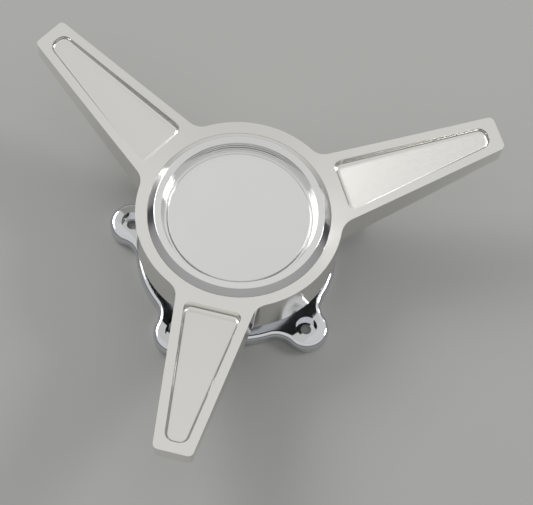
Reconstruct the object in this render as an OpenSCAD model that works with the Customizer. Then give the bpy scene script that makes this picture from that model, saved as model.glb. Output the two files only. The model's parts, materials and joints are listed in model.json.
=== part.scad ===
// Three-bar spinner centre cap for a five-bolt road wheel.
// The origin is on the axis, in the plane of the mounting face under the base. +Z points outwards,
// away from the wheel, and the first bar lies along +X. All sizes are in millimetres.

/* [Bars] */
// Number of bars
bar_count = 3; // [2:1:5]
// Radius from the axis to the flat tip of a bar
bar_tip_r = 108; // [90:1:130]
// Radius at which the root width is measured
bar_root_r = 50; // [46:1:60]
// Width of a bar at the root radius
bar_root_w = 29; // [22:0.5:34]
// Width of a bar at its tip
bar_tip_w = 14.8; // [13:0.2:24]
// Radius of the tip's corners, seen from the front
bar_corner_r = 2.2; // [0.5:0.1:4]
// Fillet between a bar and the hub, seen from the front
bar_fillet_r = 7.5; // [3:0.5:14]
// Rise of the conical front face away from the hub, in degrees
face_rise = 11.74; // [4:0.1:16]
// Rise of the conical back face, in degrees
back_rise = 18.03; // [8:0.1:20]
// Height of the front face over the mounting face, at the root radius
face_z = 40; // [36:0.5:60]
// Thickness of a bar at its tip
bar_tip_t = 7.7; // [5:0.1:12]

/* [Pockets] */
// Land between the pocket and the side of the bar
pocket_land = 3.6; // [2:0.1:6]
// Land between the pocket and the tip of the bar
pocket_tip_land = 4.4; // [2:0.1:12]
// Radius at which the pocket begins, near the hub
pocket_root_r = 42.8; // [42:0.1:60]
// Depth of the pocket near the hub
pocket_root_depth = 3.3; // [1:0.1:5]
// Depth of the pocket near the tip
pocket_tip_depth = 1.5; // [0.5:0.1:3]
// Corner radius of the pocket near the hub
pocket_root_corner = 2.9; // [2:0.1:5]
// Corner radius of the pocket near the tip
pocket_tip_corner = 3.9; // [2:0.1:4.2]
// Radius of the cutter's nose, left between the wall and the floor
pocket_nose_r = 1.6; // [0.5:0.1:1.9]

/* [Hub] */
// Radius of the hub
hub_r = 41.5; // [39:0.5:45]
// Height of the hub's back face over the mounting face
hub_back_z = 18; // [14:0.5:22]
// Depth of the round recess in the hub's back that locates the base
pilot_depth = 2; // [1:0.5:4]

/* [Centre cap] */
// Outer radius of the cap's lip
lip_r = 36.8; // [36:0.1:38]
// Width of the bevel on the lip
lip_bevel_w = 2.8; // [1:0.1:3.2]
// Height of the bevel on the lip
lip_bevel_h = 2.3; // [1:0.1:3]
// Thickness of the lip under its bevel
lip_seat_t = 2.1; // [1:0.1:3]
// Radius of the recess at its rim
recess_r = 31.1; // [28:0.1:32]
// Fall of the flat band from the bevel to the recess
band_fall = 0.4; // [0:0.1:1]
// Number of fine steps down the wall of the recess
step_count = 5; // [3:1:8]
// Width of a step
step_w = 0.28; // [0.1:0.02:0.4]
// Height of a step
step_h = 1.04; // [0.6:0.02:1.2]
// Radius of the cap's body behind the lip
cap_body_r = 32.8; // [32:0.1:33.5]
// Thickness of the cap's floor
cap_floor_t = 2.6; // [2:0.1:4]

/* [Medallion] */
// Radius of the medallion
medallion_r = 28.9; // [24:0.1:29]
// Thickness of the medallion
medallion_t = 1.5; // [1:0.1:2.5]
// Depth to which the medallion is let into the floor
medallion_sink = 0.8; // [0.3:0.1:1]
// Bevel round the medallion's edge
medallion_bevel = 0.3; // [0.1:0.1:0.5]

/* [Base] */
// Number of ears
ear_count = 5; // [3:1:6]
// Diameter of the circle through the ears' screw holes
ear_pcd = 90.7; // [88:0.1:110]
// Outer radius of an ear
ear_r = 9.3; // [7:0.1:11]
// Turn of the first ear away from the first bar, in degrees
ear_turn = 4.6; // [0:0.1:30]
// Fillet between an ear and the flange
ear_fillet_r = 8; // [3:0.5:10]
// Diameter of the screw hole in an ear
ear_hole_d = 4.3; // [3:0.1:6]
// Diameter of the counterbore in an ear
ear_bore_d = 8.7; // [7:0.1:10]
// Depth of the counterbore
ear_bore_depth = 3; // [1:0.1:4]
// Thickness of the flange and its ears
flange_t = 5.5; // [5:0.1:7]
// Radius of the flange between the ears
flange_r = 41.9; // [38:0.1:44]
// Outer radius of the neck between the flange and the hub
neck_r = 34; // [32:0.5:36]
// Thickness of the neck's wall at its top
neck_wall = 4; // [3:0.5:6]
// Thickness of the base's top wall
top_wall = 4; // [3:0.5:6]
// Draft of the hollow inside the neck, in degrees
hollow_draft = 2; // [0.5:0.5:5]

/* [Fasteners] */
// Number of screws that hold the spinner to the base
screw_count = 3; // [3:1:4]
// Diameter of these screws
screw_d = 6; // [5:0.5:8]
// Length of these screws under the head
screw_len = 14; // [12:1:14]
// Radius of the circle that these screws stand on
screw_circle_r = 21; // [18:0.5:22]
// Diameter of the washers
washer_d = 11.8; // [10:0.1:13]
// Thickness of the washers
washer_t = 1.6; // [1:0.1:2]
// Depth of a tapped hole beyond its screw's end
tap_runout = 1.5; // [0.5:0.5:2]

/* [Hidden] */
$fn = 96;
seat_gap = 0.05;
screw_gap = 0.05;
hole_gap = 0.4;
eps = 0.01;
overlap = 1;
// Depth by which round forms that run into each other cross, so that the exact solids close
bite = 0.004;
overshoot = 4;
reach = 120;
pocket_cut_h = 12;
head_ratio = 1.65;
socket_ratio = 0.96;
pilot_land = 2;

// Front and back cones of the spinner, as heights over the mounting face
face_slope = tan(face_rise);
back_slope = tan(back_rise);
function face_h(r) = face_z + (r - bar_root_r) * face_slope;
function back_h(r) = face_h(bar_tip_r) - bar_tip_t + (r - bar_tip_r) * back_slope;

// Half width of a bar at a radius: bar_c - bar_m * r
bar_m = (bar_root_w - bar_tip_w) / 2 / (bar_tip_r - bar_root_r);
bar_c = bar_root_w / 2 + bar_m * bar_root_r;
bar_k = sqrt(1 + bar_m * bar_m);

// Heights of the centre cap, from the crease where its lip meets the front face
crease_z = face_h(lip_r);
lip_top_z = crease_z + lip_bevel_h;
rim_z = lip_top_z - band_fall;
floor_z = rim_z - step_count * step_h;
floor_r = recess_r - step_count * step_w;
cap_back_z = floor_z - cap_floor_t;
seat_z = crease_z - lip_seat_t;

// Heights of the fasteners
head_h = screw_d;
head_d = screw_d * head_ratio;
socket_d = screw_d * socket_ratio;
under_z = hub_back_z - top_wall;
head_seat_z = under_z - washer_t;
screw_end_z = head_seat_z + screw_len;
ear_ring_r = ear_pcd / 2;
pilot_r = screw_circle_r - washer_d / 2 - pilot_land;

// Centre and end points of the fillet beside a bar, on the side of +Y
fil_h = bar_c + bar_fillet_r * bar_k;
fil_d = hub_r + bar_fillet_r;
fil_b = fil_h * bar_m;
fil_x = (fil_b + sqrt(fil_b * fil_b - bar_k * bar_k * (fil_h * fil_h - fil_d * fil_d))) / (bar_k * bar_k);
fil_y = fil_h - bar_m * fil_x;
fil_on_bar = [fil_x - bar_fillet_r * bar_m / bar_k, fil_y - bar_fillet_r / bar_k];
fil_on_hub = [fil_x, fil_y] * hub_r / fil_d;

// Corner circles at the tip of a bar
tip_c_x = bar_tip_r - bar_corner_r;
tip_c_y = bar_c - bar_m * tip_c_x - bar_corner_r * bar_k;

// Front view of one bar with its two fillets, pointing along +X
module bar_outline() {
    half_root = bar_c - bar_m * hub_r / 2;
    cut_x = bar_corner_r * bar_m / bar_k;
    cut_y = bar_corner_r / bar_k;
    polygon([
        [hub_r / 2, -half_root],
        [tip_c_x + cut_x, -tip_c_y - cut_y],
        [tip_c_x, -tip_c_y],
        [bar_tip_r, -tip_c_y],
        [bar_tip_r, tip_c_y],
        [tip_c_x, tip_c_y],
        [tip_c_x + cut_x, tip_c_y + cut_y],
        [hub_r / 2, half_root]
    ]);
    for (s = [-1, 1])
        translate([tip_c_x, s * tip_c_y]) circle(r = bar_corner_r);
    for (s = [0, 1])
        mirror([0, s])
            difference() {
                polygon([[0, 0], fil_on_bar, [fil_x, fil_y], fil_on_hub]);
                translate([fil_x, fil_y]) circle(r = bar_fillet_r);
            }
}

// Front view of the whole spinner
module spinner_outline() {
    circle(r = hub_r, $fn = 180);
    for (i = [0 : bar_count - 1])
        rotate(i * 360 / bar_count) bar_outline();
}

// Half section of the spinner between its front and back cones
module spinner_section() {
    out = bar_tip_r + overshoot;
    seat_in_r = lip_r - overlap;
    polygon([
        [0, hub_back_z],
        [hub_r + eps, hub_back_z],
        [hub_r + eps, back_h(hub_r)],
        [out, back_h(out)],
        [out, face_h(out)],
        [seat_in_r, face_h(seat_in_r)],
        [0, face_h(seat_in_r)]
    ]);
}

// The pocket is worked out in the plane of its floor, with x along the floor
pocket_r1 = pocket_root_r;
pocket_r2 = bar_tip_r - pocket_tip_land;
floor_z1 = face_h(pocket_r1) - pocket_root_depth;
floor_z2 = face_h(pocket_r2) - pocket_tip_depth;
floor_rise = atan((floor_z2 - floor_z1) / (pocket_r2 - pocket_r1));
floor_cos = cos(floor_rise);
floor_x1 = pocket_r1 / floor_cos + pocket_root_depth * tan(floor_rise);
floor_x2 = pocket_r2 / floor_cos + pocket_tip_depth * tan(floor_rise);
pocket_m = bar_m * floor_cos;
pocket_k = sqrt(1 + pocket_m * pocket_m);
pocket_c = bar_c - pocket_land * bar_k;

// Centre of a corner circle, from its x and its radius
function corner(x, r) = [x, pocket_c - pocket_m * x - r * pocket_k];
root_corner = corner(floor_x1 + pocket_root_corner, pocket_root_corner);
tip_corner = corner(floor_x2 - pocket_tip_corner, pocket_tip_corner);
side_n = [pocket_m, 1] / pocket_k;
function flip(p) = [p[0], -p[1]];

// Wall of the pocket between two points of its outline, with the cutter's nose radius at its foot.
// The pocket lies on the left of the way from p to q.
module pocket_wall(p, q, h) {
    d = q - p;
    translate([p[0], p[1], 0])
        rotate([0, 0, atan2(d[1], d[0])])
            rotate([90, 0, 90])
                linear_extrude(norm(d)) {
                    translate([0, pocket_nose_r]) square([pocket_nose_r, h - pocket_nose_r]);
                    translate([pocket_nose_r, 0]) square([overlap / 2, h]);
                    translate([pocket_nose_r, pocket_nose_r]) circle(r = pocket_nose_r, $fn = 48);
                }
}

// Corner of the pocket, as the cutter leaves it
module pocket_corner(c, corner_r, h) {
    r = corner_r + bite;
    inner = r - pocket_nose_r;
    translate([c[0], c[1], 0])
        rotate_extrude() {
            square([inner, h]);
            translate([0, pocket_nose_r]) square([r, h - pocket_nose_r]);
            intersection() {
                translate([inner, pocket_nose_r]) circle(r = pocket_nose_r, $fn = 48);
                square([r + overlap, h]);
            }
        }
}

// Space that the pocket takes out of a bar, from its floor up past the front face
module pocket_space() {
    h = pocket_cut_h;
    a = root_corner;
    b = tip_corner;
    ra = pocket_root_corner;
    rb = pocket_tip_corner;
    n = pocket_nose_r;
    up = [
        a + (ra - n) * [-1, 0] + [overlap / 4, 0],
        a + (ra - n) * side_n - [0, overlap / 4],
        b + (rb - n) * side_n - [0, overlap / 4],
        b + (rb - n) * [1, 0] - [overlap / 4, 0]
    ];
    core = concat(up, [for (i = [3 : -1 : 0]) flip(up[i])]);
    linear_extrude(h) polygon(core);
    pocket_wall(b + rb * side_n, a + ra * side_n, h);
    pocket_wall(flip(a + ra * side_n), flip(b + rb * side_n), h);
    pocket_wall(a - ra * [1, 0], flip(a - ra * [1, 0]), h);
    pocket_wall(flip(b + rb * [1, 0]), b + rb * [1, 0], h);
    pocket_corner(a, ra, h);
    pocket_corner(flip(a), ra, h);
    pocket_corner(b, rb, h);
    pocket_corner(flip(b), rb, h);
}

// Places children on the circle of the screws between spinner and base
module at_screws() {
    for (i = [0 : screw_count - 1])
        rotate([0, 0, (i + 0.5) * 360 / screw_count])
            translate([screw_circle_r, 0, 0]) children();
}

// One-piece spinner: hub, bars, pockets, the seat of the centre cap and the tapped holes behind
module spinner() {
    color("gainsboro")
        difference() {
            intersection() {
                linear_extrude(reach) spinner_outline();
                rotate_extrude($fn = 180) spinner_section();
            }
            // seat of the lip, then the bore that takes the cap's body
            translate([0, 0, seat_z]) cylinder(r = lip_r + seat_gap, h = reach, $fn = 180);
            translate([0, 0, cap_back_z - seat_gap])
                cylinder(r = cap_body_r + seat_gap, h = reach, $fn = 180);
            // round recess that locates the base
            translate([0, 0, hub_back_z - eps])
                cylinder(r = pilot_r + seat_gap, h = pilot_depth + eps);
            at_screws()
                translate([0, 0, hub_back_z - eps])
                    cylinder(d = screw_d + 2 * screw_gap, h = screw_end_z + tap_runout - hub_back_z + eps);
            for (i = [0 : bar_count - 1])
                rotate([0, 0, i * 360 / bar_count])
                    translate([0, 0, floor_z1 - pocket_r1 * tan(floor_rise)])
                        rotate([0, -floor_rise, 0]) pocket_space();
        }
}

// Turned cup with a bevelled lip and a stepped recess
module center_cap() {
    steps = [
        for (i = [0 : step_count - 1])
            each [
                [recess_r - i * step_w, rim_z - i * step_h],
                [recess_r - i * step_w, rim_z - (i + 1) * step_h]
            ]
    ];
    sink_r = medallion_r + seat_gap;
    color("whitesmoke")
        rotate_extrude($fn = 180)
            polygon(concat(
                [
                    [0, cap_back_z],
                    [cap_body_r, cap_back_z],
                    [cap_body_r, seat_z],
                    [lip_r, seat_z],
                    [lip_r, crease_z],
                    [lip_r - lip_bevel_w, lip_top_z]
                ],
                steps,
                [
                    [floor_r, floor_z],
                    [sink_r, floor_z],
                    [sink_r, floor_z - medallion_sink],
                    [0, floor_z - medallion_sink]
                ]
            ));
}

// Bare round plate let into the floor of the recess
module medallion() {
    foot = floor_z - medallion_sink;
    color("silver")
        rotate_extrude($fn = 180)
            polygon([
                [0, foot],
                [medallion_r, foot],
                [medallion_r, foot + medallion_t - medallion_bevel],
                [medallion_r - medallion_bevel, foot + medallion_t],
                [0, foot + medallion_t]
            ]);
}

// Fillet beside an ear, on the side of +Y for an ear on the X axis
ear_far = ear_r + ear_fillet_r - bite;
ear_dist = flange_r + ear_fillet_r - bite;
ear_ang = acos((ear_dist * ear_dist + ear_ring_r * ear_ring_r - ear_far * ear_far) / (2 * ear_dist * ear_ring_r));
ear_f = ear_dist * [cos(ear_ang), sin(ear_ang)];
ear_e = [ear_ring_r, 0];

// Front view of the flange with its ears
module flange_outline() {
    circle(r = flange_r, $fn = 180);
    for (i = [0 : ear_count - 1])
        rotate(ear_turn + i * 360 / ear_count) {
            translate(ear_e) circle(r = ear_r);
            for (s = [0, 1])
                mirror([0, s])
                    difference() {
                        polygon([[0, 0], ear_e, ear_f]);
                        translate(ear_f) circle(r = ear_fillet_r);
                    }
        }
}

// Cast base: five-eared flange, neck, and a top wall that the spinner is screwed to
module base_housing() {
    hollow_top_r = neck_r - neck_wall;
    hollow_foot_r = hollow_top_r + under_z * tan(hollow_draft);
    color("lightsteelblue")
        difference() {
            union() {
                linear_extrude(flange_t) flange_outline();
                cylinder(r = neck_r, h = hub_back_z, $fn = 180);
                cylinder(r = pilot_r, h = hub_back_z + pilot_depth - seat_gap);
            }
            translate([0, 0, -eps])
                cylinder(r1 = hollow_foot_r, r2 = hollow_top_r, h = under_z + eps, $fn = 180);
            at_screws() cylinder(d = screw_d + hole_gap, h = reach);
            for (i = [0 : ear_count - 1])
                rotate([0, 0, ear_turn + i * 360 / ear_count])
                    translate([ear_ring_r, 0, 0]) {
                        translate([0, 0, -eps]) cylinder(d = ear_hole_d, h = reach);
                        translate([0, 0, flange_t - ear_bore_depth]) cylinder(d = ear_bore_d, h = reach);
                    }
        }
}

// Socket-head screws put in from inside the base
module spinner_screws() {
    color("dimgray")
        at_screws()
            difference() {
                union() {
                    translate([0, 0, head_seat_z - head_h]) cylinder(d = head_d, h = head_h);
                    cylinder_from(head_seat_z - eps, screw_end_z, screw_d);
                }
                translate([0, 0, head_seat_z - head_h - eps])
                    cylinder(d = socket_d, h = head_h / 2 + eps, $fn = 6);
            }
}

// Upright rod between two heights
module cylinder_from(z1, z2, d) {
    translate([0, 0, z1]) cylinder(d = d, h = z2 - z1);
}

// Washers under the screws' heads
module lock_washers() {
    color("darkgray")
        at_screws()
            difference() {
                cylinder_from(head_seat_z, under_z, washer_d);
                cylinder_from(head_seat_z - overlap, under_z + overlap, screw_d + hole_gap);
            }
}

spinner();
center_cap();
medallion();
base_housing();
spinner_screws();
lock_washers();
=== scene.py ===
import json
from math import cos, hypot, pi, radians, sin

import bpy
from bpy.props import FloatProperty, FloatVectorProperty, IntProperty, PointerProperty
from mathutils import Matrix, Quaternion, Vector


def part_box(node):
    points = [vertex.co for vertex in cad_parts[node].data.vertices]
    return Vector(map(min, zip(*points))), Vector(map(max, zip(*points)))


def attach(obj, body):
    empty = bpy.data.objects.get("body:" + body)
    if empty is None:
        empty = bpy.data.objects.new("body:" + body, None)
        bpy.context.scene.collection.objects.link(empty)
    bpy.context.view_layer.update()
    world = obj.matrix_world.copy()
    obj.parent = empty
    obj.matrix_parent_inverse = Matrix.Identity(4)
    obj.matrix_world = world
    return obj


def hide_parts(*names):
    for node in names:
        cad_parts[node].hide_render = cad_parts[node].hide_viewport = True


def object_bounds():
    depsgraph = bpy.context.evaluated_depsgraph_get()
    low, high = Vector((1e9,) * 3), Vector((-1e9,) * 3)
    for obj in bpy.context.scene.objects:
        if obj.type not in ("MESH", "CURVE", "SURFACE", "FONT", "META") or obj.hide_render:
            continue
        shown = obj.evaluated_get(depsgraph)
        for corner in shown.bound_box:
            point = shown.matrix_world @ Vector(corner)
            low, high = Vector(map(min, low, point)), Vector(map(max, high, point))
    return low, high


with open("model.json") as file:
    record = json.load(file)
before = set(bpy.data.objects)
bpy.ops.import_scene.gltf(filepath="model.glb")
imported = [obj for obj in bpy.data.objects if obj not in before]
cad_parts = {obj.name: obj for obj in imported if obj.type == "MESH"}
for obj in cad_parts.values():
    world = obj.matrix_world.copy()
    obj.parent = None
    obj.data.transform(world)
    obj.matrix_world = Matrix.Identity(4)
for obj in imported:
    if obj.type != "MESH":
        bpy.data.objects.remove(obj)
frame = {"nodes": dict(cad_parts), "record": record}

bl_info = {
    "name": "Spinner Centre Cap",
    "version": (1, 0, 0),
    "blender": (4, 5, 0),
    "location": "View3D > Sidebar > Spinner Cap",
    "description": "Polished three-bar spinner centre cap on its chromed base, modelled around a packed frame",
    "category": "Object",
}

MM = 0.001
CAD_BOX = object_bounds()

# Places that the frame gives
SPINNER_LOW, SPINNER_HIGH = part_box("spinner")
CAP_LOW, CAP_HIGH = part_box("center_cap")
PLATE_LOW, PLATE_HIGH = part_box("medallion")
EAR_MOUNT = next(m for m in frame["record"]["mounts"] if m["name"] == "ear_bolts")
EAR_COUNT = EAR_MOUNT["dims"]["count"]
EAR_RING = EAR_MOUNT["dims"]["pcd_mm"] / 2 * MM


def linear(hex_colour):
    """Linear red, green and blue of an sRGB colour such as #C0C0C0."""
    shares = [int(hex_colour[i:i + 2], 16) / 255 for i in (1, 3, 5)]
    return [s / 12.92 if s <= 0.04045 else ((s + 0.055) / 1.055) ** 2.4 for s in shares]


def length_property(name, description, default):
    """Size that a user can change, in metres."""
    return FloatProperty(name=name, description=description, default=default, min=0.0, unit="LENGTH", precision=5)


def colour_property(name, description, hex_colour):
    """Colour that a user can change."""
    return FloatVectorProperty(
        name=name, description=description, default=linear(hex_colour), subtype="COLOR", min=0.0, max=1.0
    )


class SpinnerSizes(bpy.types.PropertyGroup):
    """Edges of the spinner and of the cap turned into its hub."""

    edge: length_property("Edge", "Rounding that the buffing wheel leaves on the spinner's edges", 0.55 * MM)
    edge_steps: IntProperty(name="Edge Steps", description="Facets across a rounded edge", default=3, min=1, max=8)
    pocket_depth: length_property("Pocket Depth", "Least depth of a pocket's floor under the front face", 1.1 * MM)
    face_rise: FloatProperty(
        name="Face Rise", description="Rise of the conical front face away from the hub",
        default=radians(11.74), subtype="ANGLE",
    )
    lip_seat: length_property("Lip Seat", "Thickness of the cap's lip under its bevel", 2.1 * MM)
    lip_bevel_w: length_property("Bevel Width", "Width of the bevel on the lip", 2.8 * MM)
    lip_bevel_h: length_property("Bevel Height", "Height of the bevel on the lip", 2.3 * MM)
    body_r: length_property("Body Radius", "Radius of the cap's body behind the lip", 32.8 * MM)
    recess_r: length_property("Recess Radius", "Radius of the recess at its rim", 31.1 * MM)
    band_fall: length_property("Band Fall", "Fall of the flat band towards the recess", 0.4 * MM)
    step_count: IntProperty(name="Steps", description="Fine steps down the wall of the recess", default=5, min=1)
    step_w: length_property("Step Width", "Width of one fine step", 0.28 * MM)
    step_h: length_property("Step Height", "Height of one fine step", 1.04 * MM)
    sink: length_property("Plate Sink", "Depth to which the plate is let into the floor", 0.8 * MM)
    turned_edge: length_property("Turned Edge", "Rounding that polishing leaves on the cap's edges", 0.13 * MM)
    turned_steps: IntProperty(name="Turned Steps", description="Facets round a turned piece", default=288, min=24)


class BaseSizes(bpy.types.PropertyGroup):
    """Edges of the cast base."""

    flange_top: length_property("Flange Top", "Height of the flange's upper face", 5.5 * MM)
    flange_edge: length_property("Flange Edge", "Rounding along the flange's upper edge", 2.3 * MM)
    flange_steps: IntProperty(name="Flange Edge Steps", description="Facets across that edge", default=6, min=1)
    neck_r: length_property("Neck Radius", "Radius of the neck under the hub", 34.0 * MM)
    bore_r: length_property("Counterbore Radius", "Radius of the counterbore in an ear", 4.35 * MM)
    edge: length_property("Edge", "Break on the base's other edges", 0.25 * MM)


class Finishes(bpy.types.PropertyGroup):
    """Colours of the metals."""

    billet: colour_property("Billet", "Polished aluminium billet", "#F0EFEB")
    milled: colour_property("Milled Floor", "Fine-milled aluminium in the pockets", "#EEEDE9")
    turned: colour_property("Turned Cap", "Bright turned aluminium", "#F0F0F0")
    plate: colour_property("Plate", "Satin aluminium plate", "#EDEDEC")
    chrome: colour_property("Chrome", "Chrome plating on the casting", "#E3E5E9")
    zinc: colour_property("Zinc", "Zinc plating on the screws and washers", "#A9ABB0")


class StageSettings(bpy.types.PropertyGroup):
    """Camera, floor and light."""

    floor: colour_property("Floor", "Plain paper floor", "#A8A8A6")
    floor_size: length_property("Floor Size", "Side of the floor", 6.0)
    eye: FloatVectorProperty(
        name="Eye", description="Place of the camera", default=(-0.10118, -0.26232, 0.57969), subtype="XYZ"
    )
    sight: FloatVectorProperty(
        name="Line of Sight", description="Direction in which the camera looks",
        default=(0.152618, 0.399955, -0.903739), subtype="DIRECTION",
    )
    near_side: FloatVectorProperty(
        name="Near Side", description="Level direction from the object towards the camera",
        default=(-0.375, -0.927, 0.0), subtype="DIRECTION",
    )
    near_wall: FloatProperty(name="Near Wall", description="Extra height of the walls behind the camera", default=0.25)
    roll: FloatProperty(name="Roll", description="Turn about the line of sight", default=radians(4.79), subtype="ANGLE")
    lens: FloatProperty(name="Lens", description="Focal length on a 36 mm sensor", default=103.48, min=1.0)
    shift: FloatVectorProperty(
        name="Shift", description="Lens shift, as shares of the frame's width", size=2, default=(0.0643, 0.0284)
    )


class StudioProps(bpy.types.PropertyGroup):
    """Everything that the panel shows."""

    spinner: PointerProperty(type=SpinnerSizes)
    base: PointerProperty(type=BaseSizes)
    finish: PointerProperty(type=Finishes)
    stage: PointerProperty(type=StageSettings)


# Modelling helpers


def start_clean():
    """Object mode with nothing selected."""
    if bpy.context.mode != "OBJECT":
        bpy.ops.object.mode_set(mode="OBJECT")
    bpy.ops.object.select_all(action="DESELECT")


def merged_copy(node, name):
    """Own copy of a CAD node, its loose triangles merged and its flat faces made whole."""
    start_clean()
    source = frame["nodes"][node]
    source.hide_set(False)
    source.select_set(True)
    bpy.context.view_layer.objects.active = source
    bpy.ops.object.duplicate(linked=False)
    piece = bpy.context.view_layer.objects.active
    piece.name = piece.data.name = name
    piece.parent = None
    for key in list(piece.keys()):
        del piece[key]
    piece.data.materials.clear()
    bpy.ops.object.mode_set(mode="EDIT")
    bpy.ops.mesh.select_all(action="SELECT")
    bpy.ops.mesh.remove_doubles(threshold=0.002 * MM)
    bpy.ops.mesh.dissolve_limited(angle_limit=radians(0.3))
    bpy.ops.mesh.normals_make_consistent(inside=False)
    bpy.ops.object.mode_set(mode="OBJECT")
    return piece


def turned(name, profile, steps):
    """Piece turned about the Z axis from a half profile of (radius, height) points."""
    start_clean()
    bpy.ops.mesh.primitive_plane_add(size=MM, location=(profile[0][0], 0, profile[0][1]))
    piece = bpy.context.view_layer.objects.active
    piece.name = piece.data.name = name
    bpy.ops.object.transform_apply(location=True, rotation=False, scale=False)
    bpy.ops.object.mode_set(mode="EDIT")
    bpy.ops.mesh.select_mode(type="VERT")
    bpy.ops.mesh.select_all(action="SELECT")
    bpy.ops.mesh.merge(type="CENTER")
    for (r1, z1), (r2, z2) in zip(profile, profile[1:]):
        bpy.ops.mesh.extrude_region_move(TRANSFORM_OT_translate={"value": (r2 - r1, 0, z2 - z1)})
    bpy.ops.mesh.select_all(action="SELECT")
    bpy.ops.mesh.spin(steps=steps, angle=2 * pi, center=(0, 0, 0), axis=(0, 0, 1))
    bpy.ops.mesh.select_all(action="SELECT")
    bpy.ops.mesh.remove_doubles(threshold=0.002 * MM)
    bpy.ops.mesh.normals_make_consistent(inside=False)
    bpy.ops.object.mode_set(mode="OBJECT")
    return piece


def round_edges(piece, width, steps):
    """Rounds every edge sharper than a quarter turn's third, then shades the piece smooth."""
    bevel = piece.modifiers.new("Edges", "BEVEL")
    bevel.limit_method = "ANGLE"
    bevel.angle_limit = radians(28)
    bevel.width = width
    bevel.segments = steps
    bevel.miter_outer = "MITER_ARC"
    bevel.use_clamp_overlap = True
    bpy.ops.object.modifier_apply(modifier=bevel.name)
    bpy.ops.object.shade_smooth_by_angle(angle=radians(32))
    weighted = piece.modifiers.new("Weighted", "WEIGHTED_NORMAL")
    weighted.keep_sharp = True
    weighted.weight = 80
    bpy.ops.object.modifier_apply(modifier=weighted.name)


def select_faces(piece, wanted):
    """Leaves the piece in edit mode with the faces selected whose centre and normal are wanted."""
    bpy.ops.object.mode_set(mode="EDIT")
    bpy.ops.mesh.select_mode(type="FACE")
    bpy.ops.mesh.select_all(action="DESELECT")
    bpy.ops.object.mode_set(mode="OBJECT")
    for face in piece.data.polygons:
        face.select = wanted(face.center, face.normal)
    bpy.ops.object.mode_set(mode="EDIT")


def settle(piece, slot, *nodes):
    """Puts a finished piece in the place of its CAD nodes."""
    start_clean()
    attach(piece, "root")
    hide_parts(*nodes)


# Materials


def add(tree, kind, values=None, **settings):
    """Adds a node. values gives numbers or other nodes' outputs for its sockets."""
    made = tree.nodes.new(kind)
    for key, value in settings.items():
        setattr(made, key, value)
    for socket, value in (values or {}).items():
        if isinstance(value, bpy.types.NodeSocket):
            tree.links.new(value, made.inputs[socket])
        else:
            made.inputs[socket].default_value = value
    return made


def metal(name, colour, roughness):
    """Bare metal to build a finish on: its material, tree, shader and coordinates."""
    made = bpy.data.materials.new(name)
    made.use_nodes = True
    tree = made.node_tree
    shader = tree.nodes["Principled BSDF"]
    shader.inputs["Base Color"].default_value = (*colour, 1)
    shader.inputs["Metallic"].default_value = 1.0
    shader.inputs["Roughness"].default_value = roughness
    place = add(tree, "ShaderNodeTexCoord").outputs["Object"]
    return made, tree, shader, place


def vary_roughness(tree, shader, pattern, low, high):
    """Lets a pattern from 0 to 1 move the roughness between two values."""
    spread = add(tree, "ShaderNodeMapRange", {"Value": pattern, "To Min": low, "To Max": high})
    tree.links.new(spread.outputs["Result"], shader.inputs["Roughness"])


def bump(tree, shader, pattern, height):
    """Raises the surface by a pattern from 0 to 1, to a height in metres."""
    made = add(tree, "ShaderNodeBump", {"Height": pattern, "Strength": 1.0, "Distance": height})
    tree.links.new(made.outputs["Normal"], shader.inputs["Normal"])


def polished_billet(colour):
    """Aluminium billet, buffed: a mirror with a slight haze, and faint wipes from the buffing wheel."""
    made, tree, shader, place = metal("polished_aluminium_billet", colour, 0.12)
    haze = add(tree, "ShaderNodeTexNoise", {"Vector": place, "Scale": 55.0, "Detail": 3.0})
    vary_roughness(tree, shader, haze.outputs["Fac"], 0.08, 0.17)
    # Buffing leaves waves about 12 mm long and well under a micron high
    wave = add(tree, "ShaderNodeTexNoise", {"Vector": place, "Scale": 80.0, "Detail": 1.0})
    bump(tree, shader, wave.outputs["Fac"], 0.012 * MM)
    return made


def milled_floor(colour):
    """Floor of a pocket as a ball-nosed cutter leaves it: satin, with passes 0.8 mm apart that barely show."""
    made, tree, shader, place = metal("fine_milled_aluminium", colour, 0.3)
    grain = add(tree, "ShaderNodeTexNoise", {"Vector": place, "Scale": 900.0, "Detail": 2.0})
    vary_roughness(tree, shader, grain.outputs["Fac"], 0.16, 0.28)
    bump(tree, shader, grain.outputs["Fac"], 0.004 * MM)
    return made


def turned_aluminium(name, colour, pitch, height, low, high):
    """Turned aluminium: rings round the axis at the tool's feed, drawn wider than the real ones so that they show."""
    made, tree, shader, place = metal(name, colour, (low + high) / 2)
    flat = add(tree, "ShaderNodeVectorMath", {0: place, 1: (1.0, 1.0, 0.0)}, operation="MULTIPLY")
    radius = add(tree, "ShaderNodeVectorMath", {0: flat.outputs["Vector"]}, operation="LENGTH")
    turns = add(tree, "ShaderNodeMath", {0: radius.outputs["Value"], 1: 2 * pi / pitch}, operation="MULTIPLY")
    wave = add(tree, "ShaderNodeMath", {0: turns.outputs["Value"]}, operation="SINE")
    ring = add(tree, "ShaderNodeMapRange", {"Value": wave.outputs["Value"], "From Min": -1.0})
    haze = add(tree, "ShaderNodeTexNoise", {"Vector": place, "Scale": 70.0, "Detail": 3.0})
    vary_roughness(tree, shader, haze.outputs["Fac"], low, high)
    bump(tree, shader, ring.outputs["Result"], height)
    return made


def chrome_plating(colour):
    """Bright chrome over a polished casting: a clean mirror whose reflections swim a little."""
    made, tree, shader, place = metal("chrome_plated_casting", colour, 0.05)
    swim = add(tree, "ShaderNodeTexNoise", {"Vector": place, "Scale": 110.0, "Detail": 1.0})
    vary_roughness(tree, shader, swim.outputs["Fac"], 0.03, 0.08)
    bump(tree, shader, swim.outputs["Fac"], 0.03 * MM)
    return made


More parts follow.
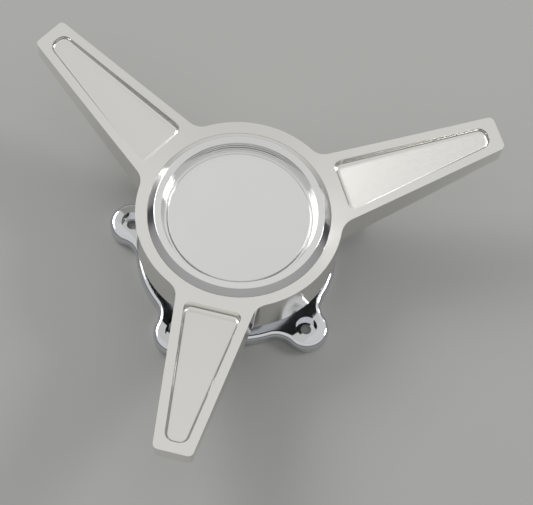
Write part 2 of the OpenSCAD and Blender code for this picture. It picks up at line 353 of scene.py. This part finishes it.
def zinc_plating(colour):
    """Zinc plating on steel: dull and slightly clouded."""
    made, tree, shader, place = metal("zinc_plated_steel", colour, 0.4)
    cloud = add(tree, "ShaderNodeTexNoise", {"Vector": place, "Scale": 400.0, "Detail": 4.0})
    vary_roughness(tree, shader, cloud.outputs["Fac"], 0.3, 0.5)
    return made


def paper_floor(colour):
    """Plain matt paper."""
    made = bpy.data.materials.new("matt_paper")
    made.use_nodes = True
    shader = made.node_tree.nodes["Principled BSDF"]
    shader.inputs["Base Color"].default_value = (*colour, 1)
    shader.inputs["Roughness"].default_value = 0.9
    shader.inputs["Specular IOR Level"].default_value = 0.1
    return made


# Operators


class CAP_OT_spinner(bpy.types.Operator):
    """Model the one-piece spinner with buffed edges and milled pockets"""

    bl_idname = "cap.spinner"
    bl_label = "Spinner"

    def execute(self, context):
        sizes = context.scene.spinner_cap.spinner
        finish = context.scene.spinner_cap.finish
        piece = merged_copy("spinner", "spinner_billet")
        round_edges(piece, sizes.edge, sizes.edge_steps)
        piece.data.materials.append(polished_billet(finish.billet))
        piece.data.materials.append(milled_floor(finish.milled))

        tip_r = SPINNER_HIGH.x
        slope = sin(sizes.face_rise) / cos(sizes.face_rise)

        def is_floor(centre, normal):
            r = hypot(centre.x, centre.y)
            face_z = SPINNER_HIGH.z - (tip_r - r) * slope
            in_bar = r > CAP_HIGH.x and centre.z < face_z - sizes.pocket_depth
            return in_bar and normal.z > cos(radians(16))

        select_faces(piece, is_floor)
        piece.active_material_index = 1
        bpy.ops.object.material_slot_assign()
        settle(piece, "spinner", "spinner")
        return {"FINISHED"}


class CAP_OT_center_cap(bpy.types.Operator):
    """Turn the cup with the bevelled lip and the stepped recess"""

    bl_idname = "cap.center_cap"
    bl_label = "Centre Cap"

    def execute(self, context):
        sizes = context.scene.spinner_cap.spinner
        lip_r = CAP_HIGH.x
        top = CAP_HIGH.z
        crease = top - sizes.lip_bevel_h
        seat = crease - sizes.lip_seat
        rim = top - sizes.band_fall
        floor = rim - sizes.step_count * sizes.step_h
        profile = [
            (0, CAP_LOW.z), (sizes.body_r, CAP_LOW.z), (sizes.body_r, seat), (lip_r, seat), (lip_r, crease),
            (lip_r - sizes.lip_bevel_w, top),
        ]
        for i in range(sizes.step_count):
            r = sizes.recess_r - i * sizes.step_w
            profile += [(r, rim - i * sizes.step_h), (r, rim - (i + 1) * sizes.step_h)]
        floor_r = sizes.recess_r - sizes.step_count * sizes.step_w
        sink_r = PLATE_HIGH.x + sizes.turned_edge / 2
        profile += [(floor_r, floor), (sink_r, floor), (sink_r, floor - sizes.sink), (0, floor - sizes.sink)]
        piece = turned("turned_center_cap", profile, sizes.turned_steps)
        round_edges(piece, sizes.turned_edge, 3)
        colour = context.scene.spinner_cap.finish.turned
        piece.data.materials.append(turned_aluminium("bright_turned_aluminium", colour, 0.5 * MM, 0.0006 * MM, 0.05, 0.1))
        settle(piece, "center_cap", "center_cap")
        return {"FINISHED"}


class CAP_OT_medallion(bpy.types.Operator):
    """Turn the bare plate in the floor of the recess"""

    bl_idname = "cap.medallion"
    bl_label = "Medallion"

    def execute(self, context):
        sizes = context.scene.spinner_cap.spinner
        r = PLATE_HIGH.x
        bevel = 3 * sizes.turned_edge
        profile = [
            (0, PLATE_LOW.z), (r, PLATE_LOW.z), (r, PLATE_HIGH.z - bevel), (r - bevel, PLATE_HIGH.z), (0, PLATE_HIGH.z),
        ]
        piece = turned("medallion_plate", profile, sizes.turned_steps)
        round_edges(piece, sizes.turned_edge / 2, 2)
        colour = context.scene.spinner_cap.finish.plate
        piece.data.materials.append(turned_aluminium("satin_aluminium_plate", colour, 0.35 * MM, 0.0012 * MM, 0.16, 0.24))
        settle(piece, "medallion", "medallion")
        return {"FINISHED"}


class CAP_OT_base(bpy.types.Operator):
    """Model the chromed casting with the rounded upper edge of its flange and ears"""

    bl_idname = "cap.base"
    bl_label = "Base"

    def execute(self, context):
        sizes = context.scene.spinner_cap.base
        piece = merged_copy("base_housing", "chromed_base")
        ears = [p for p in self.ear_centres(piece, sizes)]
        mesh = piece.data
        level = 0.02 * MM

        def on_rim(point):
            if abs(point.z - sizes.flange_top) > level or hypot(point.x, point.y) < sizes.neck_r + MM:
                return False
            return all(hypot(point.x - x, point.y - y) > sizes.bore_r + 0.5 * MM for x, y in ears)

        bpy.ops.object.mode_set(mode="EDIT")
        bpy.ops.mesh.select_mode(type="EDGE")
        bpy.ops.mesh.select_all(action="DESELECT")
        bpy.ops.object.mode_set(mode="OBJECT")
        sides = {}
        for face in mesh.polygons:
            for key in face.edge_keys:
                sides.setdefault(key, []).append(face.normal.z)
        for edge in mesh.edges:
            ends = [mesh.vertices[i].co for i in edge.vertices]
            upright = sides[edge.key]
            edge.select = all(map(on_rim, ends)) and max(upright) > 0.9 and min(upright) < 0.1
        bpy.ops.object.mode_set(mode="EDIT")
        bpy.ops.mesh.bevel(
            offset=sizes.flange_edge, segments=sizes.flange_steps, profile=0.5, affect="EDGES", clamp_overlap=False
        )
        bpy.ops.object.mode_set(mode="OBJECT")
        round_edges(piece, sizes.edge, 2)
        piece.data.materials.append(chrome_plating(context.scene.spinner_cap.finish.chrome))
        settle(piece, "base_housing", "base_housing")
        return {"FINISHED"}

    def ear_centres(self, piece, sizes):
        """Centres of the ears' holes, evenly spaced on the bolt circle, the first one towards the farthest point of the
        base's underside.
        """
        low = [v.co for v in piece.data.vertices if abs(v.co.z) < 0.02 * MM]
        far = max(low, key=lambda p: hypot(p.x, p.y))
        first = Vector((far.x, far.y)).normalized()
        for i in range(EAR_COUNT):
            turn = i * 2 * pi / EAR_COUNT
            x = first.x * cos(turn) - first.y * sin(turn)
            y = first.x * sin(turn) + first.y * cos(turn)
            yield x * EAR_RING, y * EAR_RING


class CAP_OT_fasteners(bpy.types.Operator):
    """Give the screws and washers inside the base their plating"""

    bl_idname = "cap.fasteners"
    bl_label = "Fasteners"

    def execute(self, context):
        plating = zinc_plating(context.scene.spinner_cap.finish.zinc)
        for node in ("spinner_screws", "lock_washers"):
            for holder in frame["nodes"][node].material_slots:
                holder.material = plating
        return {"FINISHED"}


class CAP_OT_stage(bpy.types.Operator):
    """Set the floor, the soft light and the camera"""

    bl_idname = "cap.stage"
    bl_label = "Stage"

    def execute(self, context):
        settings = context.scene.spinner_cap.stage
        start_clean()
        bpy.ops.mesh.primitive_plane_add(size=settings.floor_size, location=(0, 0, CAD_BOX[0].z))
        floor = context.view_layer.objects.active
        floor.name = "floor"
        floor.data.materials.append(paper_floor(settings.floor))
        self.soft_light("key_box", (-0.55, 0.9, 0.95), 0.7, 8.0)
        self.soft_light("side_strip", (1.1, -0.1, 0.75), 0.35, 5.0)
        self.room(context.scene, settings)
        self.camera(context.scene, settings)
        context.scene.view_settings.view_transform = "Standard"
        return {"FINISHED"}

    def soft_light(self, name, place, size, power):
        """Square soft box that faces the object."""
        bpy.ops.object.light_add(type="AREA", location=place)
        lamp = bpy.context.view_layer.objects.active
        lamp.name = name
        lamp.data.size = size
        lamp.data.energy = power
        lamp.rotation_euler = Vector(place).to_track_quat("Z", "Y").to_euler()

    def room(self, scene, settings):
        """White ceiling over grey walls, with the dark gap between them that polished edges pick up."""
        world = bpy.data.worlds.new("studio")
        scene.world = world
        world.use_nodes = True
        tree = world.node_tree
        way = add(tree, "ShaderNodeTexCoord").outputs["Generated"]
        up = add(tree, "ShaderNodeSeparateXYZ", {"Vector": way})
        # The ceiling stops short of the camera, so there the walls reach higher
        near = add(tree, "ShaderNodeVectorMath", {0: way, 1: settings.near_side}, operation="DOT_PRODUCT")
        rise = add(tree, "ShaderNodeMath", {0: near.outputs["Value"], 1: 0.0}, operation="MAXIMUM")
        drop = add(
            tree, "ShaderNodeMath", {0: rise.outputs["Value"], 1: -settings.near_wall, 2: up.outputs["Z"]},
            operation="MULTIPLY_ADD",
        )
        ramp = add(tree, "ShaderNodeValToRGB", {"Fac": drop.outputs["Value"]})
        stops = ramp.color_ramp.elements
        tones = (
            (0.0, "#8F8F8E"), (0.11, "#8A8A8A"), (0.15, "#47474A"), (0.21, "#4C4C4F"), (0.26, "#8C8C8D"),
            (0.45, "#B2B2B1"), (0.58, "#D7D7D6"), (0.86, "#DDDDDC"), (1.0, "#CFCFCE"),
        )
        while len(stops) < len(tones):
            stops.new(0.5)
        for stop, (height, tone) in zip(stops, tones):
            stop.position = height
            stop.color = (*linear(tone), 1)
        tree.links.new(ramp.outputs["Color"], tree.nodes["Background"].inputs["Color"])

    def camera(self, scene, settings):
        """Camera at the photograph's viewing angle."""
        bpy.ops.object.camera_add(location=settings.eye)
        camera = bpy.context.view_layer.objects.active
        away = -Vector(settings.sight)
        camera.rotation_mode = "QUATERNION"
        camera.rotation_quaternion = away.to_track_quat("Z", "Y") @ Quaternion((0, 0, 1), settings.roll)
        camera.data.sensor_width = 36
        camera.data.lens = settings.lens
        camera.data.shift_x, camera.data.shift_y = settings.shift
        camera.data.clip_start = 0.01
        scene.camera = camera


class CAP_PT_panel(bpy.types.Panel):
    """Sizes, finishes and pieces of the spinner centre cap"""

    bl_idname = "CAP_PT_panel"
    bl_label = "Spinner Centre Cap"
    bl_space_type = "VIEW_3D"
    bl_region_type = "UI"
    bl_category = "Spinner Cap"

    def draw(self, context):
        props = context.scene.spinner_cap
        for group in (props.spinner, props.base, props.finish, props.stage):
            box = self.layout.box()
            for name in group.__annotations__:
                box.prop(group, name)
        for operator in OPERATORS:
            self.layout.operator(operator.bl_idname)


GROUPS = (SpinnerSizes, BaseSizes, Finishes, StageSettings, StudioProps)
OPERATORS = (CAP_OT_spinner, CAP_OT_center_cap, CAP_OT_medallion, CAP_OT_base, CAP_OT_fasteners, CAP_OT_stage)


def register():
    for group in GROUPS + OPERATORS + (CAP_PT_panel,):
        bpy.utils.register_class(group)
    bpy.types.Scene.spinner_cap = PointerProperty(type=StudioProps)


def unregister():
    del bpy.types.Scene.spinner_cap
    for group in reversed(GROUPS + OPERATORS + (CAP_PT_panel,)):
        bpy.utils.unregister_class(group)


def main():
    register()
    bpy.ops.cap.spinner()
    bpy.ops.cap.center_cap()
    bpy.ops.cap.medallion()
    bpy.ops.cap.base()
    bpy.ops.cap.fasteners()
    bpy.ops.cap.stage()


if __name__ == "__main__":
    main()
